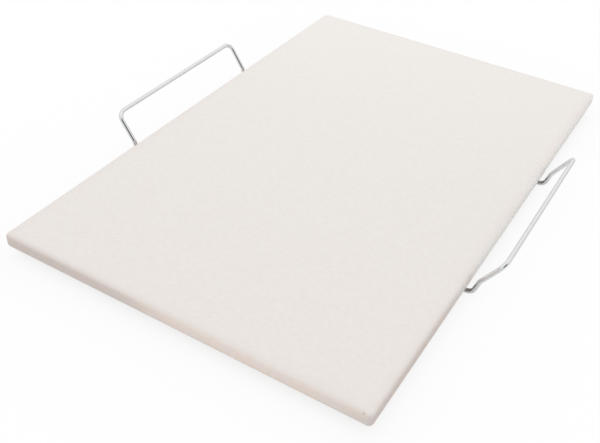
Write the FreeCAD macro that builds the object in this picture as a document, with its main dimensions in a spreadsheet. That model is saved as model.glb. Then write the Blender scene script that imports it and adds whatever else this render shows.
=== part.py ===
# Pizza stone on a chromed wire rack, in millimetres, +Z up.
# The origin is on the table under the middle of the rack. X runs from handle to handle, Y along the handles.
# The rack is a closed wire loop with two cross wires welded over it, and the stone lies loose on those.
import FreeCAD, Part
import math
import os
import Sketcher
from FreeCAD import Placement, Rotation, Vector

# Driving sizes
SIZES = {
    "stone_length": 380,
    "stone_width": 250,
    "stone_thickness": 10,
    "stone_corner_radius": 3,
    "stone_top_rounding": 2,
    "stone_bottom_rounding": 2.5,
    "seat_gap": 0.3,
    "wire_diameter": 3,
    "runner_spacing": 132,
    "foot_clearance": 1,
    "foot_bend_radius": 5,
    "lower_leg_lean": 3.5,
    "lower_leg_rise": 10.5,
    "knee_bend_radius": 6,
    "upper_leg_lean": 12.5,
    "upper_leg_rise": 18.5,
    "handle_corner_radius": 6,
    "cross_wire_side_inset": 45,
    "cross_wire_end_inset": 40,
    "wire_end_rounding": 0.6,
    "weld_set_down": 0.5,
    "weld_bead": 0.5,
}

doc = FreeCAD.newDocument("PizzaStone")
sheet = doc.addObject("Spreadsheet::Sheet", "Sizes")
for row, (alias, value) in enumerate(SIZES.items(), start=1):
    sheet.set(f"A{row}", alias)
    sheet.set(f"B{row}", str(value))
    sheet.setAlias(f"B{row}", alias)
doc.recompute()

# Allowance when an edge's place is compared with a size
TOLERANCE = 1e-4

# The most that an edge's rounding may take of the wall it is on, and of a corner's radius
WALL_SHARE = 0.45
CORNER_SHARE = 0.9

# Places that several pieces share: heights above the table, and how far the cross wires are from the middle
RUNNER_HEIGHT = "Sizes.wire_diameter / 2"
CROSS_WIRE_STEP = "(Sizes.wire_diameter - Sizes.weld_set_down)"
CROSS_WIRE_HEIGHT = f"{RUNNER_HEIGHT} + {CROSS_WIRE_STEP}"
STONE_HEIGHT = f"{CROSS_WIRE_HEIGHT} + Sizes.wire_diameter / 2 + Sizes.seat_gap"
CROSS_WIRE_OFFSET = "(Sizes.stone_width / 2 - Sizes.cross_wire_side_inset)"


def size(alias):
    return float(sheet.get(alias))


def add_sketch(body, name, plane_role):
    """An empty sketch on one of the body's own origin planes."""
    sketch = body.newObject("Sketcher::SketchObject", name)
    plane = next(item for item in body.Origin.OriginFeatures if item.Role == plane_role)
    sketch.AttachmentSupport = [(plane, "")]
    sketch.MapMode = "FlatFace"
    return sketch


def bind_constraint(sketch, constraint, expression):
    """Adds a driving dimension and ties it to the sheet."""
    index = sketch.addConstraint(constraint)
    sketch.setExpression(f"Constraints[{index}]", expression)


def edges_where(feature, test):
    """Names of the feature's edges that pass a test."""
    edges = feature.Shape.Edges
    return [f"Edge{index}" for index, edge in enumerate(edges, start=1) if test(edge)]


def add_rounding(body, name, base, test, expression):
    """Rounds every edge of the base feature that passes the test."""
    doc.recompute()
    rounding = body.newObject("PartDesign::Fillet", name)
    rounding.Base = (base, edges_where(base, test))
    rounding.setExpression("Radius", expression)
    return rounding


# Stone slab: a rectangle raised to its thickness, with rounded corners and edges
def make_stone():
    body = doc.addObject("PartDesign::Body", "StoneBody")
    body.Label = "pizza_stone"
    outline = add_sketch(body, "StoneOutline", "XY_Plane")
    half_x = size("stone_width") / 2
    half_y = size("stone_length") / 2
    points = [
        Vector(-half_x, -half_y, 0),
        Vector(half_x, -half_y, 0),
        Vector(half_x, half_y, 0),
        Vector(-half_x, half_y, 0),
    ]
    for index, point in enumerate(points):
        outline.addGeometry(Part.LineSegment(point, points[(index + 1) % 4]))
    for index in range(4):
        outline.addConstraint(Sketcher.Constraint("Coincident", index, 2, (index + 1) % 4, 1))
        outline.addConstraint(Sketcher.Constraint("Vertical" if index % 2 else "Horizontal", index))
    outline.addConstraint(Sketcher.Constraint("Symmetric", 0, 1, 2, 1, -1, 1))
    bind_constraint(outline, Sketcher.Constraint("DistanceX", 0, 1, 0, 2, 2 * half_x), "Sizes.stone_width")
    bind_constraint(outline, Sketcher.Constraint("DistanceY", 1, 1, 1, 2, 2 * half_y), "Sizes.stone_length")

    slab = body.newObject("PartDesign::Pad", "StonePad")
    slab.Profile = outline
    slab.setExpression("Length", "Sizes.stone_thickness")

    thickness = size("stone_thickness")

    def upright(edge):
        return abs(edge.BoundBox.ZLength - thickness) < TOLERANCE

    def on_top(edge):
        return edge.BoundBox.ZMin > thickness - TOLERANCE

    def on_bottom(edge):
        return edge.BoundBox.ZMax < TOLERANCE

    corners = add_rounding(body, "StoneCorners", slab, upright, "Sizes.stone_corner_radius")
    wall_limit = f"{CORNER_SHARE} * Sizes.stone_corner_radius; {WALL_SHARE} * Sizes.stone_thickness"
    top = add_rounding(
        body, "StoneTopEdge", corners, on_top, f"min(Sizes.stone_top_rounding; {wall_limit})")
    add_rounding(
        body, "StoneBottomEdge", top, on_bottom, f"min(Sizes.stone_bottom_rounding; {wall_limit})")
    body.setExpression("Placement.Base.z", STONE_HEIGHT)
    return body


def bent_path(points, radii):
    """Straight runs through the points, joined at each inner point by a tangent arc of its radius."""
    edges = []
    start = points[0]
    for before, corner, after, radius in zip(points, points[1:], points[2:], radii):
        arriving = (corner - before).normalize()
        leaving = (after - corner).normalize()
        half_turn = arriving.getAngle(leaving) / 2
        tangent = radius * math.tan(half_turn)
        arc_start = corner - arriving * tangent
        arc_end = corner + leaving * tangent
        inward = (leaving - arriving).normalize()
        arc_middle = corner + inward * (radius / math.cos(half_turn) - radius)
        edges.append(Part.LineSegment(start, arc_start).toShape())
        edges.append(Part.Arc(arc_start, arc_middle, arc_end).toShape())
        start = arc_end
    edges.append(Part.LineSegment(start, points[-1]).toShape())
    return Part.Wire(edges)


# Handle loop: one wire that runs under the stone, up past its sides and along both handles.
# The half at +X is swept along its centre line, then mirrored.
def make_handle_loop():
    wire_radius = size("wire_diameter") / 2
    half_spacing = size("runner_spacing") / 2
    foot_x = size("stone_width") / 2 + size("foot_clearance") + wire_radius
    knee_x = foot_x + size("lower_leg_lean")
    knee_z = wire_radius + size("lower_leg_rise")
    bar_x = knee_x + size("upper_leg_lean")
    bar_z = knee_z + size("upper_leg_rise")
    side_profile = [(0, wire_radius), (foot_x, wire_radius), (knee_x, knee_z), (bar_x, bar_z)]
    near_side = [Vector(x, -half_spacing, z) for x, z in side_profile]
    far_side = [Vector(x, half_spacing, z) for x, z in reversed(side_profile)]
    bends = [size("foot_bend_radius"), size("knee_bend_radius"), size("handle_corner_radius")]

    centre_line = doc.addObject("Part::Feature", "LoopCentreLine")
    centre_line.Shape = bent_path(near_side + far_side, bends + bends[::-1])

    section = doc.addObject("Part::Circle", "LoopSection")
    section.setExpression("Radius", "Sizes.wire_diameter / 2")
    section.Placement = Placement(Vector(), Rotation(Vector(0, 1, 0), 90))
    section.setExpression("Placement.Base.y", "-Sizes.runner_spacing / 2")
    section.setExpression("Placement.Base.z", RUNNER_HEIGHT)

    half_loop = doc.addObject("Part::Sweep", "HalfLoop")
    half_loop.Sections = [section]
    half_loop.Spine = (centre_line, [f"Edge{n + 1}" for n in range(len(centre_line.Shape.Edges))])
    half_loop.Solid = True

    other_half = doc.addObject("Part::Mirroring", "OtherHalfLoop")
    other_half.Source = half_loop
    other_half.Normal = Vector(1, 0, 0)

    loop = doc.addObject("Part::Fuse", "HandleLoop")
    loop.Label = "handle_loop"
    loop.Base = half_loop
    loop.Tool = other_half
    loop.Refine = True
    return loop


# Cross wire: a straight wire with rounded ends, seated in the weld a little way into both runners
def make_cross_wire(label, side):
    body = doc.addObject("PartDesign::Body", label.title().replace("_", ""))
    body.Label = label
    wire_radius = size("wire_diameter") / 2

    section = add_sketch(body, f"{body.Name}Section", "XZ_Plane")
    section.addGeometry(Part.Circle(Vector(), Vector(0, 0, 1), wire_radius))
    section.addConstraint(Sketcher.Constraint("Coincident", 0, 3, -1, 1))
    bind_constraint(section, Sketcher.Constraint("Radius", 0, wire_radius), "Sizes.wire_diameter / 2")
    wire = body.newObject("PartDesign::Pad", f"{body.Name}Pad")
    wire.Profile = section
    wire.SideType = "Symmetric"
    wire.setExpression("Length", "Sizes.stone_length - 2 * Sizes.cross_wire_end_inset")

    def end_rim(edge):
        return edge.BoundBox.YLength < TOLERANCE

    add_rounding(
        body, f"{body.Name}Ends", wire, end_rim,
        f"min(Sizes.wire_end_rounding; {WALL_SHARE} * Sizes.wire_diameter)")

    saddles = add_sketch(body, f"{body.Name}Saddles", "YZ_Plane")
    step = size("wire_diameter") - size("weld_set_down")
    for geometry, end in enumerate((-1, 1)):
        centre = Vector(end * size("runner_spacing") / 2, -step, 0)
        saddles.addGeometry(Part.Circle(centre, Vector(0, 0, 1), wire_radius))
        bind_constraint(
            saddles, Sketcher.Constraint("Radius", geometry, wire_radius), "Sizes.wire_diameter / 2")
        bind_constraint(
            saddles, Sketcher.Constraint("DistanceX", -1, 1, geometry, 3, centre.x),
            f"{end} * Sizes.runner_spacing / 2")
        bind_constraint(
            saddles, Sketcher.Constraint("DistanceY", -1, 1, geometry, 3, centre.y),
            f"-{CROSS_WIRE_STEP}")
    seats = body.newObject("PartDesign::Pocket", f"{body.Name}Seats")
    seats.Profile = saddles
    seats.SideType = "Symmetric"
    seats.setExpression("Length", "2 * Sizes.wire_diameter")
    body.setExpression("Placement.Base.x", f"{side} * {CROSS_WIRE_OFFSET}")
    body.setExpression("Placement.Base.z", CROSS_WIRE_HEIGHT)
    return body


# Spot welds: the metal pressed out around each crossing, a small ball cut away by the wires
def make_spot_welds(loop, cross_wires):
    crossing_radius = "sqrt(Sizes.weld_set_down * (Sizes.wire_diameter - Sizes.weld_set_down / 2))"
    beads = []
    for side in (-1, 1):
        for end in (-1, 1):
            bead = doc.addObject("Part::Sphere", "WeldBead")
            bead.setExpression("Radius", f"{crossing_radius} + Sizes.weld_bead")
            bead.setExpression("Placement.Base.x", f"{side} * {CROSS_WIRE_OFFSET}")
            bead.setExpression("Placement.Base.y", f"{end} * Sizes.runner_spacing / 2")
            bead.setExpression("Placement.Base.z", f"{RUNNER_HEIGHT} + {CROSS_WIRE_STEP} / 2")
            beads.append(bead)
    all_beads = doc.addObject("Part::Compound", "WeldBeads")
    all_beads.Links = beads
    wires = doc.addObject("Part::MultiFuse", "RackWires")
    wires.Shapes = [loop, *cross_wires]
    welds = doc.addObject("Part::Cut", "SpotWelds")
    welds.Label = "spot_welds"
    welds.Base = all_beads
    welds.Tool = wires
    return welds


stone = make_stone()
handle_loop = make_handle_loop()
cross_wires = [make_cross_wire("cross_wire_left", -1), make_cross_wire("cross_wire_right", 1)]
spot_welds = make_spot_welds(handle_loop, cross_wires)
doc.recompute()

# Every feature has to have worked before anything is written
for item in doc.Objects:
    if "Invalid" in item.State or "Error" in item.State:
        raise RuntimeError(f"{item.Name} failed: {item.State}")
sub_parts = [stone, handle_loop, *cross_wires, spot_welds]
for part in sub_parts:
    if part.Shape.isNull() or not part.Shape.isValid():
        raise RuntimeError(f"{part.Label} has no valid shape")

os.makedirs("parts", exist_ok=True)
for part in sub_parts:
    part.Shape.exportStep(f"parts/{part.Label}.step")
    box = part.Shape.optimalBoundingBox(False)
    print(
        f"{part.Label}: {len(part.Shape.Solids)} solids, {part.Shape.Volume:.1f} mm3, "
        f"x {box.XMin:.2f} to {box.XMax:.2f}, y {box.YMin:.2f} to {box.YMax:.2f}, "
        f"z {box.ZMin:.2f} to {box.ZMax:.2f}")
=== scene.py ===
import math
import random

import bmesh
import bpy
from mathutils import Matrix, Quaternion, Vector, noise


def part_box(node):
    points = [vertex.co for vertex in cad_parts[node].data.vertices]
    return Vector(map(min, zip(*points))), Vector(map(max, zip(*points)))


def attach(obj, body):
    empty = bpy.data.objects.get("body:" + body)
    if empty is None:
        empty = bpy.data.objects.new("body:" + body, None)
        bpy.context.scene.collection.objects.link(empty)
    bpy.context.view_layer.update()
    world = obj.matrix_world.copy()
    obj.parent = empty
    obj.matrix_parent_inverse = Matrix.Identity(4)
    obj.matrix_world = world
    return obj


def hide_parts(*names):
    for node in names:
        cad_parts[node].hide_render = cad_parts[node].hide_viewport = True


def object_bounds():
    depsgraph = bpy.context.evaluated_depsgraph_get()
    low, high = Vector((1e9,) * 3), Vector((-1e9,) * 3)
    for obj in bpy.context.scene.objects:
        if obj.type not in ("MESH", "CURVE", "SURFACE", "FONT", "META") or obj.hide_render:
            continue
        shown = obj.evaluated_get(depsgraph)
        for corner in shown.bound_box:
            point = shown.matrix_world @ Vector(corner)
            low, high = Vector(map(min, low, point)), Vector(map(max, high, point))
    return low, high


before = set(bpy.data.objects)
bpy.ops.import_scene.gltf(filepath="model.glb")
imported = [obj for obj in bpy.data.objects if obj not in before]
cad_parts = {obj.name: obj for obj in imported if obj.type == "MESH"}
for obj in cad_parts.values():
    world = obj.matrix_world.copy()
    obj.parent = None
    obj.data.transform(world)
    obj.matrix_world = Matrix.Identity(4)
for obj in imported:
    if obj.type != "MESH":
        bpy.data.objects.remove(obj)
cad_low, cad_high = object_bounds()

# Rack loop
# One round steel wire, bent cold into two runners that pass under the stone and two raised handles.
# Its ends are butt welded in the middle of the far runner, and the whole rack is then chrome plated.

MM = 0.001
loop_low, loop_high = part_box("handle_loop")
cross_low, cross_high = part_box("cross_wire_right")
stone_low, stone_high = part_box("pizza_stone")
WIRE_RADIUS = (cross_high.x - cross_low.x) / 2
RUNNER_Y = loop_high.y - WIRE_RADIUS
RUNNER_Z = loop_low.z + WIRE_RADIUS
BAR_X = loop_high.x - WIRE_RADIUS
BAR_Z = loop_high.z - WIRE_RADIUS
FOOT_CLEARANCE = 1.0 * MM
FOOT_X = stone_high.x + FOOT_CLEARANCE + WIRE_RADIUS
LOWER_LEG_LEAN = 3.5 * MM
LOWER_LEG_RISE = 10.5 * MM
KNEE_X = FOOT_X + LOWER_LEG_LEAN
KNEE_Z = RUNNER_Z + LOWER_LEG_RISE
FOOT_BEND = 5.0 * MM
KNEE_BEND = 6.0 * MM
HANDLE_BEND = 6.0 * MM
BEND_STEPS = 10
RUN_STEP = 4.0 * MM
WIRE_SIDES = 24
WIRE_WOBBLE = 0.07 * MM
WIRE_WOBBLE_PER_METRE = 24.0
WOBBLE_SEED = 7
BUTT_WELD_BULGE = 0.22 * MM
BUTT_WELD_LENGTH = 1.3 * MM


def handle_corners(side, first):
    """Corners of a handle's centre line, from the foot at its first end to the foot at its other end."""
    leg = ((FOOT_X, RUNNER_Z), (KNEE_X, KNEE_Z), (BAR_X, BAR_Z))
    rising = [Vector((side * x, first, z)) for x, z in leg]
    falling = [Vector((side * x, -first, z)) for x, z in reversed(leg)]
    return rising + falling


def bent_route(corners, bend_radii):
    """Points along a closed wire of straight runs and round bends, each with its share of bending."""
    arcs = []
    for index, corner in enumerate(corners):
        arrive = (corner - corners[index - 1]).normalized()
        leave = (corners[(index + 1) % len(corners)] - corner).normalized()
        turn = arrive.angle(leave)
        axis = arrive.cross(leave).normalized()
        start = corner - arrive * bend_radii[index] * math.tan(turn / 2)
        spoke = -axis.cross(arrive) * bend_radii[index]
        centre = start - spoke
        angles = [turn * step / BEND_STEPS for step in range(BEND_STEPS + 1)]
        arcs.append([centre + Quaternion(axis, angle) @ spoke for angle in angles])
    stations = []
    for index, arc in enumerate(arcs):
        stations += [(point, math.sin(math.pi * step / BEND_STEPS)) for step, point in enumerate(arc)]
        run = arcs[(index + 1) % len(arcs)][0] - arc[-1]
        parts = max(1, round(run.length / RUN_STEP))
        stations += [(arc[-1] + run * part / parts, 0.0) for part in range(1, parts)]
    return stations


def wobble(point):
    """The small sideways error that drawn and straightened wire keeps."""
    drift = noise.noise_vector(point * WIRE_WOBBLE_PER_METRE) * WIRE_WOBBLE
    return Vector((drift.x, drift.y, 0.0))


def butt_weld_radius(point):
    """Radius of the wire, with the low bulge where its two ends meet in the middle of the far runner."""
    if point.y < 0 or point.z > KNEE_Z:
        return WIRE_RADIUS
    return WIRE_RADIUS + BUTT_WELD_BULGE * math.exp(-((point.x / BUTT_WELD_LENGTH) ** 2))


def ring_frames(points, closed):
    """Two side directions at each point of a line, carried along it without twisting."""
    count = len(points)
    tangents = []
    for index in range(count):
        before = points[index - 1] if closed or index > 0 else points[0]
        after = points[(index + 1) % count] if closed or index < count - 1 else points[-1]
        tangents.append((after - before).normalized())
    sides = [tangents[0].orthogonal().normalized()]
    for index in range(1, count):
        sides.append(tangents[index - 1].rotation_difference(tangents[index]) @ sides[-1])
    twist = 0.0
    if closed:
        last = tangents[-1].rotation_difference(tangents[0]) @ sides[-1]
        twist = math.atan2(last.cross(sides[0]).dot(tangents[0]), last.dot(sides[0]))
    frames = []
    for index, (tangent, side) in enumerate(zip(tangents, sides)):
        turned = Quaternion(tangent, twist * index / count) @ side
        frames.append((turned, tangent.cross(turned)))
    return frames


def finish_mesh(name, maker):
    """Turns the worked mesh into an object of the scene."""
    mesh = bpy.data.meshes.new(name)
    maker.to_mesh(mesh)
    maker.free()
    piece = bpy.data.objects.new(name, mesh)
    bpy.context.scene.collection.objects.link(piece)
    return piece


def sweep_wire(name, points, radii, dullness, closed):
    """A round wire through the points, as rings of quads, with its girth and length kept as a UV map."""
    maker = bmesh.new()
    uv_layer = maker.loops.layers.uv.new("wire")
    dull_layer = maker.verts.layers.float.new("dulled")
    rings = []
    for point, radius, dull, (across, up) in zip(points, radii, dullness, ring_frames(points, closed)):
        ring = []
        for side in range(WIRE_SIDES):
            angle = math.tau * side / WIRE_SIDES
            outward = across * math.cos(angle) + up * math.sin(angle)
            vertex = maker.verts.new(point + outward * radius)
            vertex.co.z = max(vertex.co.z, loop_low.z)
            vertex[dull_layer] = dull
            ring.append(vertex)
        rings.append(ring)
    lengths = [0.0]
    for index in range(len(points)):
        lengths.append(lengths[-1] + (points[(index + 1) % len(points)] - points[index]).length)
    for index in range(len(rings) if closed else len(rings) - 1):
        lower = rings[index]
        upper = rings[(index + 1) % len(rings)]
        start, end = lengths[index], lengths[index + 1]
        for side in range(WIRE_SIDES):
            after = (side + 1) % WIRE_SIDES
            face = maker.faces.new((lower[side], lower[after], upper[after], upper[side]))
            face.smooth = True
            left, right = side / WIRE_SIDES, (side + 1) / WIRE_SIDES
            places = ((left, start), (right, start), (right, end), (left, end))
            for corner, place in zip(face.loops, places):
                corner[uv_layer].uv = place
    if not closed:
        maker.faces.new(reversed(rings[0]))
        maker.faces.new(rings[-1])
    bmesh.ops.recalc_face_normals(maker, faces=maker.faces)
    return finish_mesh(name, maker)


CHROME_SHADED = (0.74, 0.745, 0.755, 1.0)
CHROME_BRIGHT = (0.83, 0.835, 0.84, 1.0)
CHROME_CLOUDS_PER_METRE = 160.0
CHROME_SMOOTHEST = 0.05
CHROME_ROUGHEST = 0.12
BEND_DULLING = 0.10
LINES_ROUND_WIRE = 60.0
LINE_BREAKS_PER_METRE = 90.0
LINE_STRENGTH = 0.12
LINE_DEPTH = 0.02 * MM
CLOUD_LOW = 0.3
CLOUD_HIGH = 0.7

# The colour sockets among the inputs and outputs of a mix node
MIX_LOW = 6
MIX_HIGH = 7
MIX_RESULT = 2


def start_material(name):
    """A new node material, its tree and its main shader."""
    material = bpy.data.materials.new(name)
    material.use_nodes = True
    tree = material.node_tree
    return material, tree, tree.nodes["Principled BSDF"]


def add_node(tree, kind, inputs=None, **options):
    """Adds a shader node, sets its options, and fills its inputs with values or other nodes' outputs."""
    made = tree.nodes.new("ShaderNode" + kind)
    for option, value in options.items():
        setattr(made, option, value)
    for name, value in (inputs or {}).items():
        if isinstance(value, bpy.types.NodeSocket):
            tree.links.new(value, made.inputs[name])
        else:
            made.inputs[name].default_value = value
    return made


def combine(tree, operation, *levels):
    """Result of one arithmetic step on levels."""
    return add_node(tree, "Math", dict(enumerate(levels)), operation=operation).outputs[0]


def remap(tree, value, from_low, from_high, to_low=0.0, to_high=1.0):
    """Output that runs from one level to another as the value crosses a range."""
    made = add_node(tree, "MapRange", {"Value": value, "From Min": from_low, "From Max": from_high,
                                       "To Min": to_low, "To Max": to_high})
    return made.outputs["Result"]


def blend_colours(tree, share, low, high):
    """Colour that goes from one to another, both linear, as the share goes from 0 to 1."""
    made = add_node(tree, "Mix", {"Factor": share, MIX_LOW: low, MIX_HIGH: high}, data_type="RGBA")
    return made.outputs[MIX_RESULT]


def cloudy(tree, place, per_unit, detail):
    """Soft random level, with about so many clouds to each unit of the place's scale."""
    clouds = add_node(tree, "TexNoise", {"Vector": place, "Scale": per_unit, "Detail": detail})
    return clouds.outputs["Fac"]


def dress(tree, shader, colour, roughness, relief, strength, depth):
    """Gives the shader its colour, its roughness and the fine relief of the surface."""
    bump = add_node(tree, "Bump", {"Height": relief, "Strength": strength, "Distance": depth})
    tree.links.new(colour, shader.inputs["Base Color"])
    tree.links.new(roughness, shader.inputs["Roughness"])
    tree.links.new(bump.outputs["Normal"], shader.inputs["Normal"])


def chrome_finish():
    """Bright chrome over drawn wire: faint lines along it, cloudy polish, duller where it was bent."""
    material, tree, shader = start_material("chrome_plating")
    place = add_node(tree, "TexCoord").outputs["Object"]
    along = add_node(tree, "UVMap", uv_map="wire").outputs["UV"]
    dulled = add_node(tree, "Attribute", attribute_name="dulled").outputs["Fac"]
    cloud = cloudy(tree, place, CHROME_CLOUDS_PER_METRE, detail=3.0)
    line_scale = (LINES_ROUND_WIRE, LINE_BREAKS_PER_METRE, 1.0)
    drawn = add_node(tree, "Mapping", {"Vector": along, "Scale": line_scale}).outputs["Vector"]
    lines = cloudy(tree, drawn, per_unit=1.0, detail=2.0)
    polish = remap(tree, cloud, CLOUD_LOW, CLOUD_HIGH, CHROME_SMOOTHEST, CHROME_ROUGHEST)
    worn = combine(tree, "MULTIPLY_ADD", dulled, BEND_DULLING, polish)
    tone = blend_colours(tree, cloud, CHROME_SHADED, CHROME_BRIGHT)
    dress(tree, shader, tone, worn, lines, LINE_STRENGTH, LINE_DEPTH)
    shader.inputs["Metallic"].default_value = 1.0
    return material


noise.seed_set(WOBBLE_SEED)
loop_corners = handle_corners(1, -RUNNER_Y) + handle_corners(-1, RUNNER_Y)
handle_bends = [FOOT_BEND, KNEE_BEND, HANDLE_BEND, HANDLE_BEND, KNEE_BEND, FOOT_BEND]
loop_stations = bent_route(loop_corners, handle_bends * 2)
loop_points = [point + wobble(point) for point, bending in loop_stations]
loop_radii = [butt_weld_radius(point) for point, bending in loop_stations]
loop_dullness = [bending for point, bending in loop_stations]
wire_loop = sweep_wire("wire_loop", loop_points, loop_radii, loop_dullness, True)
chrome = chrome_finish()
wire_loop.data.materials.append(chrome)
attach(wire_loop, "rack")
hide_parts("handle_loop")

# Cross wires
# Two straight lengths of the same wire, sheared to length with their edges tumbled round.
# They lie across both runners and carry the stone.

CROSS_X = (cross_high.x + cross_low.x) / 2
CROSS_Z = cross_high.z - WIRE_RADIUS
CROSS_END = cross_high.y
END_ROUNDING = 0.6 * MM
END_STEPS = 5


def cross_wire_profile():
    """Stations of a cross wire from end to end, each a place along Y and the radius there."""
    end = []
    for step in range(END_STEPS + 1):
        angle = math.pi / 2 * step / END_STEPS
        inset = END_ROUNDING * (1 - math.cos(angle))
        end.append((CROSS_END - inset, WIRE_RADIUS - END_ROUNDING * (1 - math.sin(angle))))
    inner = CROSS_END - END_ROUNDING
    parts = round(2 * inner / RUN_STEP)
    middle = [(-inner + 2 * inner * part / parts, WIRE_RADIUS) for part in range(1, parts)]
    return [(-place, radius) for place, radius in end] + middle + end[::-1]


cross_profile = cross_wire_profile()
cross_radii = [radius for place, radius in cross_profile]
for side, name in ((-1, "left"), (1, "right")):
    points = [Vector((side * CROSS_X, place, CROSS_Z)) for place, radius in cross_profile]
    points = [point + wobble(point) for point in points]
    bar = sweep_wire("cross_bar_" + name, points, cross_radii, [0.0] * len(points), False)
    bar.data.materials.append(chrome)
    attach(bar, "rack")
    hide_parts("cross_wire_" + name)

# Spot welds
# Where a cross wire meets a runner, the two are pressed together hot and sink a little into each other.
# A low collar of squeezed metal is left round each of the four crossings, plated with the rest.

WELD_REACH = 1.35 * MM
WELD_UNEVENNESS = 0.14 * MM
WELD_RIPPLES = 2.2
WELD_CHANGE_PER_METRE = 1000.0
WELD_HOLLOW = 0.22 * MM
WELD_COLUMNS = 40
WELD_ROWS = 8
WELD_BITE = 0.06 * MM
WELD_DARK = (0.46, 0.43, 0.39, 1.0)
WELD_BRIGHT = (0.72, 0.715, 0.70, 1.0)
WELD_CLOUDS_PER_METRE = 900.0
WELD_SMOOTHEST = 0.2
WELD_ROUGHEST = 0.42
WELD_PIT_STRENGTH = 0.5
WELD_PIT_DEPTH = 0.1 * MM


def weld_collar(maker, x, y):
    """A closed collar between the runner's top and the cross wire's underside at one crossing."""
    rows = [[] for row in range(WELD_ROWS + 1)]
    for column in range(WELD_COLUMNS):
        angle = math.tau * column / WELD_COLUMNS
        outward = Vector((math.cos(angle), math.sin(angle), 0.0))
        ripple = noise.noise(Vector((x, y, 0.0)) * WELD_CHANGE_PER_METRE + outward * WELD_RIPPLES)
        reach = WELD_REACH + WELD_UNEVENNESS * ripple
        bottom = RUNNER_Z + math.sqrt(WIRE_RADIUS ** 2 - (reach * outward.y) ** 2) - WELD_BITE
        top = CROSS_Z - math.sqrt(WIRE_RADIUS ** 2 - (reach * outward.x) ** 2) + WELD_BITE
        for row in range(WELD_ROWS + 1):
            rise = row / WELD_ROWS
            hollow = WELD_HOLLOW * 4 * rise * (1 - rise)
            spot = Vector((x, y, bottom + (top - bottom) * rise)) + outward * (reach - hollow)
            rows[row].append(maker.verts.new(spot))
    for lower, upper in zip(rows, rows[1:]):
        for column in range(WELD_COLUMNS):
            after = (column + 1) % WELD_COLUMNS
            maker.faces.new((lower[column], lower[after], upper[after], upper[column])).smooth = True
    caps = ((rows[0], RUNNER_Z + WIRE_RADIUS / 2), (rows[-1], CROSS_Z - WIRE_RADIUS / 2))
    for row, height in caps:
        middle = maker.verts.new((x, y, height))
        for column in range(WELD_COLUMNS):
            maker.faces.new((row[column], row[(column + 1) % WELD_COLUMNS], middle))


def weld_finish():
    """Plated weld metal: the same chrome, but pitted and cloudy, with a straw tint from the heat."""
    material, tree, shader = start_material("plated_weld")
    place = add_node(tree, "TexCoord").outputs["Object"]
    cloud = cloudy(tree, place, WELD_CLOUDS_PER_METRE, detail=4.0)
    tone = blend_colours(tree, cloud, WELD_DARK, WELD_BRIGHT)
    rough = remap(tree, cloud, CLOUD_LOW, CLOUD_HIGH, WELD_ROUGHEST, WELD_SMOOTHEST)
    dress(tree, shader, tone, rough, cloud, WELD_PIT_STRENGTH, WELD_PIT_DEPTH)
    shader.inputs["Metallic"].default_value = 1.0
    return material


weld_maker = bmesh.new()
for side in (-1, 1):
    for end in (-1, 1):
        weld_collar(weld_maker, side * CROSS_X, end * RUNNER_Y)
bmesh.ops.recalc_face_normals(weld_maker, faces=weld_maker.faces)
weld_collars = finish_mesh("weld_collars", weld_maker)
weld_collars.data.materials.append(weld_finish())
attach(weld_collars, "rack")
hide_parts("spot_welds")

# Stone slab
# A plate of cordierite clay, pressed in a mould and fired unglazed, so it is pale, dry and finely porous.
# Its edges are sponged round before firing; it lies loose on the cross wires between the four legs.

SLAB_HALF_X = (stone_high.x - stone_low.x) / 2
SLAB_HALF_Y = (stone_high.y - stone_low.y) / 2
SLAB_CORNER = 3.0 * MM
TOP_ROUNDING = 2.8 * MM
TOP_EASING = 3.4 * MM
BOTTOM_ROUNDING = 2.5 * MM
ROUNDING_STEPS = 8
SIDE_STEPS = 12
CORNER_STEPS = 10
COLUMN_STEP = 3.0 * MM
FACE_FIRST_STEP = 0.3 * MM
FACE_GROWTH = 1.45
FACE_LAST_INSET = 40.0 * MM
EDGE_WANDER = 0.12 * MM
EDGE_WANDER_PER_METRE = 30.0
RIM_FADE = 14.0 * MM
MERGE_DISTANCE = 0.001 * MM
CHIP_PLACE = SLAB_HALF_X - 4.9 * MM
CHIP_HEIGHT = stone_high.z - 1.4 * MM
CHIP_RADIUS = 1.1 * MM
NICK_SEED = 5
NICK_COUNT = 10
NICK_SMALLEST = 0.45 * MM
NICK_LARGEST = 0.9 * MM
NICK_FROM_MIDDLE = 0.92
NICK_CLEARING = 1.2
NICK_COLUMNS = 5
NICK_DEPTH_SHARE = 0.45
NICK_UNEVENNESS = 0.5
NICK_LUMPS_PER_METRE = 1800.0

# The way that each side faces and the way along it, from the near side anticlockwise
FACING = [Vector(way) for way in ((0, -1, 0), (1, 0, 0), (0, 1, 0), (-1, 0, 0))]
ALONG = FACING[1:] + FACING[:1]
NEAR_SIDE = 0


def slab_half(way):
    """Half of the slab's size in a direction along X or Y."""
    return abs(way.x) * SLAB_HALF_X + abs(way.y) * SLAB_HALF_Y


def edge_nicks():
    """Small chips on the edge, each a side, a place along it, a height and a radius."""
    draw = random.Random(NICK_SEED)
    nicks = [(NEAR_SIDE, CHIP_PLACE, CHIP_HEIGHT, CHIP_RADIUS)]
    for number in range(NICK_COUNT):
        side = number % len(FACING)
        place = draw.uniform(-NICK_FROM_MIDDLE, NICK_FROM_MIDDLE) * slab_half(ALONG[side])
        height = draw.choice((stone_low.z + BOTTOM_ROUNDING / 2, stone_high.z - TOP_ROUNDING / 2))
        nicks.append((side, place, height, draw.uniform(NICK_SMALLEST, NICK_LARGEST)))
    return nicks


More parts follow.
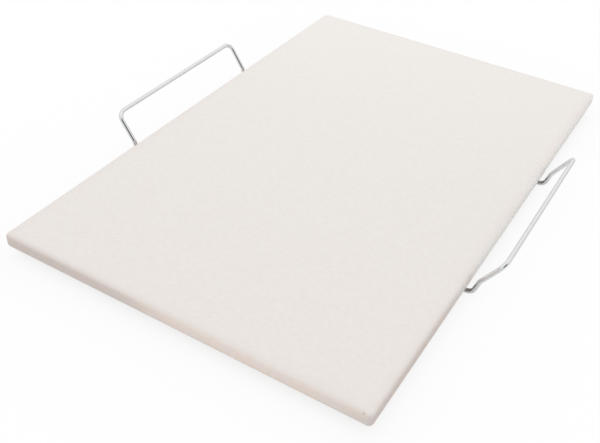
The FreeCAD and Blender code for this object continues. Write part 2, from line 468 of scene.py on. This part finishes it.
def edge_columns(side, nicks):
    """Where the columns stand along a side, as shares of its straight half: even, but close at a nick."""
    half = slab_half(ALONG[side]) - SLAB_CORNER
    parts = round(2 * half / COLUMN_STEP)
    places = [half * (2 * part / parts - 1) for part in range(1, parts)]
    for nick_side, middle, height, radius in nicks:
        if nick_side == side:
            places = [place for place in places if abs(place - middle) > radius * NICK_CLEARING]
            steps = range(-NICK_COLUMNS, NICK_COLUMNS + 1)
            places += [middle + radius * step / NICK_COLUMNS for step in steps]
    return [place / half for place in sorted(places)]


def slab_ring(inset, height, columns):
    """Points round the slab at one inset and height, anticlockwise from the near side's left end."""
    radius = max(SLAB_CORNER - inset, 0.0)
    up = Vector((0, 0, height))
    points = []
    for outward, along, shares in zip(FACING, ALONG, columns):
        reach = slab_half(outward) - inset - radius
        run = slab_half(along) - inset - radius
        points += [up + outward * (reach + radius) + along * run * share for share in shares]
        for step in range(CORNER_STEPS + 1):
            angle = math.pi / 2 * step / CORNER_STEPS
            across = outward * (reach + radius * math.cos(angle))
            onward = along * (run + radius * math.sin(angle))
            points.append(up + (across + onward))
    return points


def face_insets(rounding):
    """Insets of the rings on a flat face, from its edge inwards, growing further apart."""
    insets = [rounding + FACE_FIRST_STEP]
    while insets[-1] * FACE_GROWTH < FACE_LAST_INSET:
        insets.append(insets[-1] * FACE_GROWTH)
    return insets


def slab_profile():
    """Inset and height of each ring, from the underside round the edge to the top."""
    wall_low = stone_low.z + BOTTOM_ROUNDING
    wall_high = stone_high.z - TOP_ROUNDING
    angles = [math.pi / 2 * step / ROUNDING_STEPS for step in range(ROUNDING_STEPS + 1)]
    rings = [(inset, stone_low.z) for inset in reversed(face_insets(BOTTOM_ROUNDING))]
    for angle in angles:
        inset = BOTTOM_ROUNDING * (1 - math.sin(angle))
        rings.append((inset, wall_low - BOTTOM_ROUNDING * math.cos(angle)))
    for step in range(1, SIDE_STEPS):
        rings.append((0.0, wall_low + (wall_high - wall_low) * step / SIDE_STEPS))
    for angle in angles:
        inset = TOP_EASING * (1 - math.cos(angle))
        rings.append((inset, wall_high + TOP_ROUNDING * math.sin(angle)))
    return rings + [(inset, stone_high.z) for inset in face_insets(TOP_EASING)]


def edge_wander(point):
    """The slight waviness of a sponged edge, always inwards so that the slab keeps within its size."""
    half_sway = noise.noise_vector(point * EDGE_WANDER_PER_METRE) / 2
    inward_x = -point.x / SLAB_HALF_X * (1 / 2 + half_sway.x)
    inward_y = -point.y / SLAB_HALF_Y * (1 / 2 + half_sway.y)
    return Vector((inward_x, inward_y, 0.0)) * EDGE_WANDER


def cut_nicks(maker, nicks, nick_shade_layer):
    """Sinks the surface at each nick, deepest in its middle and lumpy, and marks how deep it is there, for
    the painted shade inside the nick.
    """
    maker.normal_update()
    for side, place, height, radius in nicks:
        edge = FACING[side] * slab_half(FACING[side])
        centre = edge + ALONG[side] * place + Vector((0, 0, height))
        for vertex in maker.verts:
            nearness = 1 - (vertex.co - centre).length_squared / radius ** 2
            if nearness > 0:
                lump = 1 + NICK_UNEVENNESS * noise.noise(vertex.co * NICK_LUMPS_PER_METRE)
                vertex.co -= vertex.normal * radius * NICK_DEPTH_SHARE * nearness * lump
                vertex[nick_shade_layer] = nearness


def build_slab():
    """The slab as rings of quads between two flat faces, its edge a little wavy and nicked in places."""
    maker = bmesh.new()
    rim_layer = maker.verts.layers.float.new("rim")
    nick_shade_layer = maker.verts.layers.float.new("nick")
    nicks = edge_nicks()
    columns = [edge_columns(side, nicks) for side in range(len(FACING))]
    rings = []
    for inset, height in slab_profile():
        rim = max(0.0, 1 - inset / RIM_FADE)
        ring = []
        for point in slab_ring(inset, height, columns):
            vertex = maker.verts.new(point + edge_wander(point) * rim)
            vertex[rim_layer] = rim
            ring.append(vertex)
        rings.append(ring)
    for lower, upper in zip(rings, rings[1:]):
        for column in range(len(lower)):
            after = (column + 1) % len(lower)
            maker.faces.new((lower[column], lower[after], upper[after], upper[column])).smooth = True
    maker.faces.new(reversed(rings[0])).smooth = True
    maker.faces.new(rings[-1]).smooth = True
    bmesh.ops.remove_doubles(maker, verts=maker.verts, dist=MERGE_DISTANCE)
    bmesh.ops.recalc_face_normals(maker, faces=maker.faces)
    cut_nicks(maker, nicks, nick_shade_layer)
    return finish_mesh("stone_slab", maker)


# The clay's colours are linear, spot sizes are shares of a cell, and slopes are the height of the normal.
FACE_SHADED = (0.848, 0.796, 0.762, 1.0)
FACE_PALE = (0.878, 0.828, 0.796, 1.0)
RIM_PINK = (0.852, 0.782, 0.746, 1.0)
RIM_START = 0.45
RIM_FULL = 0.95
RIM_LEAST = 0.25
# Sides: a warmer, tan clay tone, and also darker than the faces as painted shade of the sides.
SIDE_TONE_AND_SHADE_DEEP = (0.754, 0.681, 0.639, 1.0)
SIDE_TONE_AND_SHADE_PALE = (0.802, 0.728, 0.687, 1.0)
SIDE_TOASTED_AND_SHADE = (0.802, 0.697, 0.637, 1.0)
TOP_SLOPE = 0.92
SIDE_SLOPE = 0.35
KILN_STAIN = (0.70, 0.63, 0.57, 1.0)
KILN_STRENGTH = 0.6
UNDERSIDE_START = -0.5
UNDERSIDE_FULL = -0.95
# Painted shade inside the nicks, deepest in their middle.
NICK_PAINTED_SHADE = (0.58, 0.49, 0.44, 1.0)
NICK_SHADE_STRENGTH = 0.7
BLOTCHES_PER_METRE = 70.0
BLOTCH_LOW = 0.35
BLOTCH_HIGH = 0.65
MOTTLES_PER_METRE = 420.0
GRAINS_PER_METRE = 2600.0
GRAIN_STRENGTH = 0.2
GRAIN_DEPTH = 0.12 * MM
SPECK_BROWN = (0.56, 0.47, 0.39, 1.0)
SPECKS_PER_METRE = 520.0
SPECK_SIZE = 0.17
SPECK_CHANCE = 0.22
SPECK_STRENGTH = 0.35
# Pinholes are dark dots of painted shade, with a little sunken relief.
PINHOLE_PAINTED_SHADE = (0.45, 0.40, 0.36, 1.0)
PINHOLES_PER_METRE = 330.0
PINHOLE_SIZE = 0.09
PINHOLE_CHANCE = 0.30
PINHOLE_SHADE_STRENGTH = 0.5
PINHOLE_RELIEF = -1.5
CHANCE_EDGE = 0.9
CLAY_SMOOTHEST = 0.78
CLAY_ROUGHEST = 0.92
CLAY_GLOSS = 0.25


def strewn_spots(tree, place, per_metre, size, chance):
    """Round spots, 1 in the middle of each and 0 between them, in some of the cells they could fill."""
    cells = add_node(tree, "TexVoronoi", {"Vector": place, "Scale": per_metre}).outputs
    lot = add_node(tree, "SeparateColor", {"Color": cells["Color"]}).outputs["Red"]
    spot = remap(tree, cells["Distance"], size, size / 2)
    return combine(tree, "MULTIPLY", spot, remap(tree, lot, chance, chance * CHANCE_EDGE))


def fired_clay():
    """Unglazed fired clay: even off-white faces, pinker rim, warm dry sides darkened with painted shade,
    fine grain, and pinholes and nicks darkened with painted shade.
    """
    material, tree, shader = start_material("fired_clay")
    place = add_node(tree, "TexCoord").outputs["Object"]
    rim = add_node(tree, "Attribute", attribute_name="rim").outputs["Fac"]
    nick = add_node(tree, "Attribute", attribute_name="nick").outputs["Fac"]
    normal = add_node(tree, "NewGeometry").outputs["Normal"]
    upward = add_node(tree, "SeparateXYZ", {"Vector": normal}).outputs["Z"]
    blotch = remap(tree, cloudy(tree, place, BLOTCHES_PER_METRE, detail=4.0), BLOTCH_LOW, BLOTCH_HIGH)
    mottle = remap(tree, cloudy(tree, place, MOTTLES_PER_METRE, detail=3.0), CLOUD_LOW, CLOUD_HIGH)
    grain = cloudy(tree, place, GRAINS_PER_METRE, detail=2.0)
    specks = strewn_spots(tree, place, SPECKS_PER_METRE, SPECK_SIZE, SPECK_CHANCE)
    pinholes = strewn_spots(tree, place, PINHOLES_PER_METRE, PINHOLE_SIZE, PINHOLE_CHANCE)

    face = blend_colours(tree, mottle, FACE_SHADED, FACE_PALE)
    rim_level = remap(tree, rim, RIM_START, RIM_FULL)
    rim_share = combine(tree, "MULTIPLY", rim_level, remap(tree, blotch, 0.0, 1.0, RIM_LEAST, 1.0))
    face = blend_colours(tree, rim_share, face, RIM_PINK)
    speck_share = combine(tree, "MULTIPLY", specks, SPECK_STRENGTH)
    face = blend_colours(tree, speck_share, face, SPECK_BROWN)
    # The sides get a warmer clay tone with mottle and toasted blotches, darkened as painted shade of the
    # sides, and are mixed in where the surface faces steeply.
    side_tone_and_shade = blend_colours(tree, mottle, SIDE_TONE_AND_SHADE_DEEP, SIDE_TONE_AND_SHADE_PALE)
    side = blend_colours(tree, blotch, side_tone_and_shade, SIDE_TOASTED_AND_SHADE)
    colour = blend_colours(tree, remap(tree, upward, TOP_SLOPE, SIDE_SLOPE), face, side)
    underside = remap(tree, upward, UNDERSIDE_START, UNDERSIDE_FULL, 0.0, KILN_STRENGTH)
    kiln_share = combine(tree, "MULTIPLY", underside, blotch)
    colour = blend_colours(tree, kiln_share, colour, KILN_STAIN)
    # Painted shade in the pinholes.
    pinhole_shade_share = combine(tree, "MULTIPLY", pinholes, PINHOLE_SHADE_STRENGTH)
    colour = blend_colours(tree, pinhole_shade_share, colour, PINHOLE_PAINTED_SHADE)
    # Painted shade in the nicks, by how deep each place is.
    nick_shade_share = combine(tree, "MULTIPLY", nick, NICK_SHADE_STRENGTH)
    colour = blend_colours(tree, nick_shade_share, colour, NICK_PAINTED_SHADE)

    roughness = remap(tree, mottle, 0.0, 1.0, CLAY_SMOOTHEST, CLAY_ROUGHEST)
    relief = combine(tree, "MULTIPLY_ADD", pinholes, PINHOLE_RELIEF, grain)
    dress(tree, shader, colour, roughness, relief, GRAIN_STRENGTH, GRAIN_DEPTH)
    shader.inputs["Specular IOR Level"].default_value = CLAY_GLOSS
    return material


stone_slab = build_slab()
stone_slab.data.materials.append(fired_clay())
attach(stone_slab, "stone")
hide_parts("pizza_stone")

# Studio
# A wide pale floor under an open white sky, brightest overhead, and a large soft lamp behind on the left.
# Two pale cards lie on the table, a small one in front and a narrow strip close to the slab's right side.
# Mirrors see a white room with a grey horizon and one dark corner.

WHITE = (1.0, 1.0, 1.0, 1.0)
FLOOR_HALF = 12.0
FLOOR_COLOUR = (0.80, 0.80, 0.80, 1.0)
FLOOR_ROUGHNESS = 0.9
FLOOR_GLOW_UNDER = 0.6
FLOOR_GLOW_INSET = 12.0 * MM
FLOOR_GLOW_FADE = 6.0 * MM
MIRROR_GLOW = 0.3
SKY_LOW = 0.59
SKY_ADDED_OVERHEAD = 0.99
SKY_POWER = 4.0
DARK_CORNER = Vector((0.73, -0.60, 0.32)).normalized()
DARK_CORNER_EDGE = math.cos(math.radians(34))
DARK_CORNER_CORE = math.cos(math.radians(22))
DARK_CORNER_DEPTH = 0.95
HORIZON_TOP = math.sin(math.radians(25))
HORIZON_DEPTH = 0.45
DAYLIGHT = (0.77, 0.97, 1.0)
PLAIN_WHITE = (1.0, 0.99, 0.97)
COOL = (0.58, 0.87, 1.0)

# Each lamp's name, place and aim in metres, size, watts and tint
LAMPS = (
    ("window_lamp", (-0.30, 0.70, 0.45), (-0.05, 0.15, 0.0), (0.5, 0.5), 1.24, DAYLIGHT),
    ("front_card", (0.05, -0.25, 0.006), (0.05, -0.24, 0.106), (0.14, 0.09), 0.031, PLAIN_WHITE),
    ("right_card", (0.170, 0.125, 0.005), (0.156, 0.125, 0.105), (0.40, 0.05), 0.094, COOL),
)


def seen_white(tree, path, mirror_share):
    """Share of plain white: 1 to the camera, the mirror share in chrome or glass, 0 for plain light."""
    mirrored = combine(tree, "MAXIMUM", path["Is Glossy Ray"], path["Is Transmission Ray"])
    return combine(tree, "MULTIPLY_ADD", mirrored, mirror_share, path["Is Camera Ray"])


def floor_paint():
    """Pale matt floor that turns to plain white away from the slab and keeps the shadow by it."""
    material, tree, shader = start_material("floor_paint")
    shader.inputs["Base Color"].default_value = FLOOR_COLOUR
    shader.inputs["Roughness"].default_value = FLOOR_ROUGHNESS
    shader.inputs["Specular IOR Level"].default_value = 0.0
    glow_edge = (SLAB_HALF_X - FLOOR_GLOW_INSET, SLAB_HALF_Y - FLOOR_GLOW_INSET, cad_high.z)
    spot = add_node(tree, "NewGeometry").outputs["Position"]
    mirrored = add_node(tree, "VectorMath", {0: spot}, operation="ABSOLUTE").outputs[0]
    past = add_node(tree, "VectorMath", {0: mirrored, 1: glow_edge}, operation="SUBTRACT").outputs[0]
    outside = add_node(tree, "VectorMath", {0: past, 1: (0.0, 0.0, 0.0)}, operation="MAXIMUM").outputs[0]
    away = add_node(tree, "VectorMath", {0: outside}, operation="LENGTH").outputs["Value"]
    far_share = combine(tree, "DIVIDE", away, combine(tree, "ADD", away, FLOOR_GLOW_FADE))
    glow_share = remap(tree, far_share, 0.0, 1.0, FLOOR_GLOW_UNDER, 1.0)
    seen = seen_white(tree, add_node(tree, "LightPath").outputs, MIRROR_GLOW)
    share = combine(tree, "MULTIPLY", glow_share, seen)
    glow = add_node(tree, "Emission", {"Color": WHITE, "Strength": 1.0})
    mix = add_node(tree, "MixShader", {0: share, 1: shader.outputs[0], 2: glow.outputs[0]})
    tree.links.new(mix.outputs[0], tree.nodes["Material Output"].inputs["Surface"])
    return material


def light_room():
    """White room, lit mostly from overhead and seen as plain white, but in mirrors with its dark parts."""
    world = bpy.data.worlds.new("studio")
    world.use_nodes = True
    tree = world.node_tree
    direction = add_node(tree, "TexCoord").outputs["Generated"]
    height = add_node(tree, "SeparateXYZ", {"Vector": direction}).outputs["Z"]
    dome = combine(tree, "POWER", combine(tree, "MAXIMUM", height, 0.0), SKY_POWER)
    daylight = combine(tree, "MULTIPLY_ADD", dome, SKY_ADDED_OVERHEAD, SKY_LOW)
    sky = add_node(tree, "Background", {"Color": WHITE, "Strength": daylight})
    path = add_node(tree, "LightPath").outputs
    seen = seen_white(tree, path, 1.0)
    toward = add_node(tree, "VectorMath", {0: direction, 1: DARK_CORNER}, operation="DOT_PRODUCT")
    nearness = toward.outputs["Value"]
    corner = remap(tree, nearness, DARK_CORNER_EDGE, DARK_CORNER_CORE, 0.0, DARK_CORNER_DEPTH)
    horizon = remap(tree, height, HORIZON_TOP, 0.0, 0.0, HORIZON_DEPTH)
    darkness = combine(tree, "MAXIMUM", corner, horizon)
    in_mirrors = combine(tree, "MULTIPLY", darkness, path["Is Glossy Ray"])
    brightness = combine(tree, "SUBTRACT", 1.0, in_mirrors)
    white = add_node(tree, "Background", {"Color": WHITE, "Strength": brightness})
    mix = add_node(tree, "MixShader", {0: seen, 1: sky.outputs[0], 2: white.outputs[0]})
    tree.links.new(mix.outputs[0], tree.nodes["World Output"].inputs["Surface"])
    return world


def hang_lamp(name, place, aim, size, watts, tint):
    """An oblong soft lamp that the camera and mirrors don't see."""
    data = bpy.data.lights.new(name, "AREA")
    data.shape = "RECTANGLE"
    data.size, data.size_y = size
    data.energy = watts
    data.color = tint
    lamp = bpy.data.objects.new(name, data)
    lamp.location = place
    lamp.rotation_mode = "QUATERNION"
    lamp.rotation_quaternion = (Vector(aim) - Vector(place)).to_track_quat("-Z", "Y")
    lamp.visible_camera = False
    lamp.visible_glossy = False
    bpy.context.scene.collection.objects.link(lamp)


floor_maker = bmesh.new()
for corner_x, corner_y in ((-1, -1), (1, -1), (1, 1), (-1, 1)):
    floor_maker.verts.new((corner_x * FLOOR_HALF, corner_y * FLOOR_HALF, cad_low.z))
floor_maker.faces.new(floor_maker.verts)
floor = finish_mesh("floor", floor_maker)
floor.data.materials.append(floor_paint())
bpy.context.scene.world = light_room()
for lamp in LAMPS:
    hang_lamp(*lamp)

# Camera
# It stands close, to the right of the near side and looking down, with the small tilt and off-centre frame
# of the reference view. The focal length is given in pixels of a 600 pixel wide picture.

PICTURE_WIDTH = 600
FOCAL_PIXELS = 839.3
CENTRE_SHIFT_X = 24.5
CENTRE_SHIFT_Y = -19.5
SENSOR_WIDTH = 36.0
NEAREST_SEEN = 0.01
FARTHEST_SEEN = 100.0
AZIMUTH = math.radians(28.46)
ELEVATION = math.radians(37.33)
ROLL = math.radians(-3.48)
DISTANCE = 556.8 * MM
TARGET = Vector((12.2 * MM, -44.0 * MM, stone_low.z))

camera_data = bpy.data.cameras.new("camera")
camera_data.sensor_width = SENSOR_WIDTH
camera_data.lens = FOCAL_PIXELS / PICTURE_WIDTH * SENSOR_WIDTH
camera_data.shift_x = -CENTRE_SHIFT_X / PICTURE_WIDTH
camera_data.shift_y = CENTRE_SHIFT_Y / PICTURE_WIDTH
camera_data.clip_start = NEAREST_SEEN
camera_data.clip_end = FARTHEST_SEEN
camera = bpy.data.objects.new("camera", camera_data)
level_back = Vector((math.sin(AZIMUTH), -math.cos(AZIMUTH), 0.0))
back = level_back * math.cos(ELEVATION) + Vector((0, 0, math.sin(ELEVATION)))
camera.location = TARGET + back * DISTANCE
camera.rotation_mode = "QUATERNION"
camera.rotation_quaternion = (-back).to_track_quat("-Z", "Y") @ Quaternion((0, 0, 1), -ROLL)
bpy.context.scene.collection.objects.link(camera)
bpy.context.scene.camera = camera
bpy.context.scene.view_settings.view_transform = "Standard"
